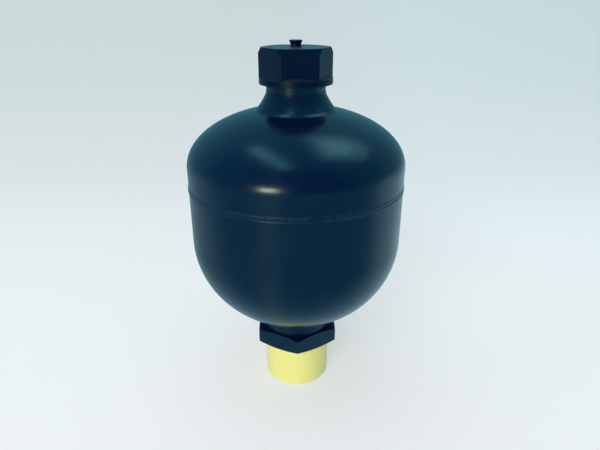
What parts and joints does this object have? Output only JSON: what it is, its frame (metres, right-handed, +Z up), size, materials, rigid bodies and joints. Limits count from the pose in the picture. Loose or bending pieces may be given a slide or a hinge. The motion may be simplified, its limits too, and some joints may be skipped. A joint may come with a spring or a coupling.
{
  "type": "bladder accumulator",
  "caption": "Small welded hydraulic accumulator with a gas bladder, a gas valve under a black cap and a fluid port under a yellow cap.",
  "frame": {"origin": "on the vessel's axis, at the foot of the yellow cap that it stands on", "axes": "+Z up the vessel's axis, from the fluid port to the gas port; +X and +Y across it"},
  "size_m": [0.1056, 0.1056, 0.1793],
  "materials": {
    "black_paint": "satin",
    "black_plastic": "satin",
    "yellow_plastic": "satin",
    "steel": "machined",
    "spring_steel": "drawn",
    "bronze": "machined",
    "brass": "machined",
    "rubber": "matte"
  },
  "bodies": {
    "vessel": {"lower_shell": "black_paint", "upper_shell": "black_paint", "girth_weld": "black_paint", "backing_ring": "steel", "fluid_port": "black_paint", "poppet_bush": "bronze", "poppet_spring": "spring_steel", "port_cap": "yellow_plastic", "gas_port": "black_paint", "bladder": "rubber", "bladder_stem": "steel", "stem_seal": "rubber", "stem_washer": "steel", "stem_nut": "steel", "valve_body": "brass", "valve_body_seal": "rubber", "valve_spring": "spring_steel", "sealing_cap": "steel", "sealing_ring": "rubber", "protective_cap": "black_plastic"},
    "poppet": {"poppet": "steel", "damping_sleeve": "steel", "poppet_nut": "steel"},
    "valve_pin": {"valve_pin": "brass", "valve_pin_seal": "rubber"}
  },
  "joints": [
    {"name": "poppet_close", "type": "slide", "parent": "vessel", "child": "poppet", "axis": [0, 0, -1], "range_m": [0, 0.005], "stiffness_N_per_m": 1500, "springref_m": -0.006, "deforming": ["poppet_spring"]},
    {"name": "valve_pin_press", "type": "slide", "parent": "vessel", "child": "valve_pin", "axis": [0, 0, -1], "range_m": [0, 0.0012], "stiffness_N_per_m": 1000, "springref_m": -0.002, "deforming": ["valve_spring"]}
  ]
}
